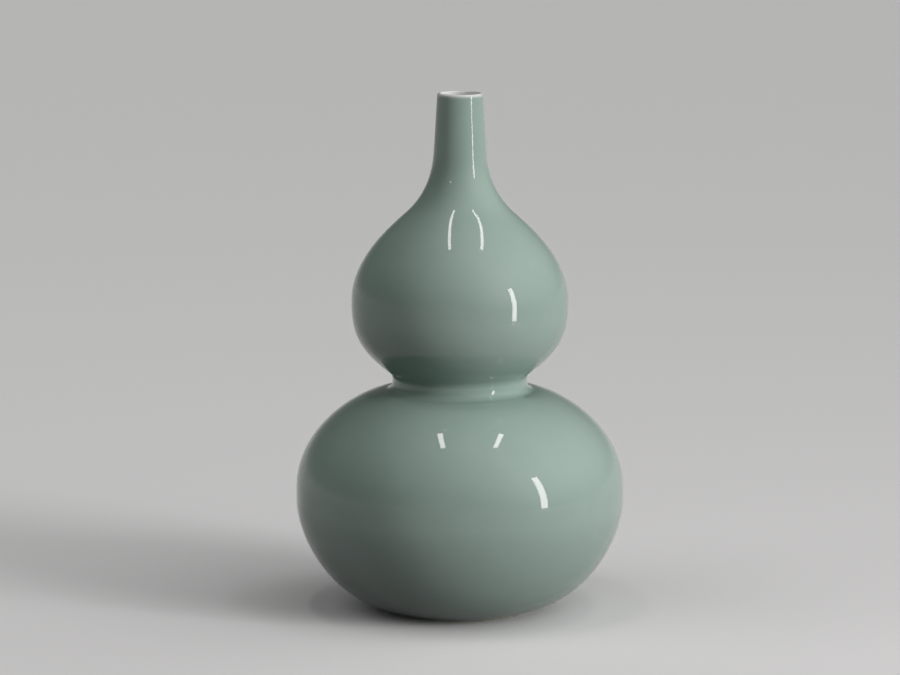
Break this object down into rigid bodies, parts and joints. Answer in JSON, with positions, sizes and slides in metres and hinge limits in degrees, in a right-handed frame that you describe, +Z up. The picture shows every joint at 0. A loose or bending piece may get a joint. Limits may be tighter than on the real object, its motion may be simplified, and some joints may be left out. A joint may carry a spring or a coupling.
{
  "type": "vase",
  "caption": "Double-gourd porcelain vase with a slender open neck, grey-green glaze outside, white glaze inside and a bare foot ring; holds stems or stands on display.",
  "frame": {"origin": "centre of the foot ring in the plane of the table", "axes": "+Z up along the vase's axis of revolution; X and Y across it"},
  "size_m": [0.19, 0.19, 0.3],
  "materials": {
    "biscuit": "matt unglazed porcelain, slightly warm where the foot is bare",
    "slip": "matt fired slip",
    "celadon": "glossy grey-green glaze, paler where thin at the lip and deeper where it pools",
    "white_glaze": "glossy clear glaze over white porcelain"
  },
  "bodies": {
    "root": {"base_section": "biscuit", "lower_shoulder_section": "biscuit", "upper_bowl_section": "biscuit", "upper_shoulder_section": "biscuit", "neck_section": "biscuit", "belly_lute": "slip", "waist_lute": "slip", "upper_belly_lute": "slip", "neck_lute": "slip", "outer_glaze": "celadon", "inner_glaze": "white_glaze", "base_glaze": "white_glaze"}
  },
  "joints": []
}
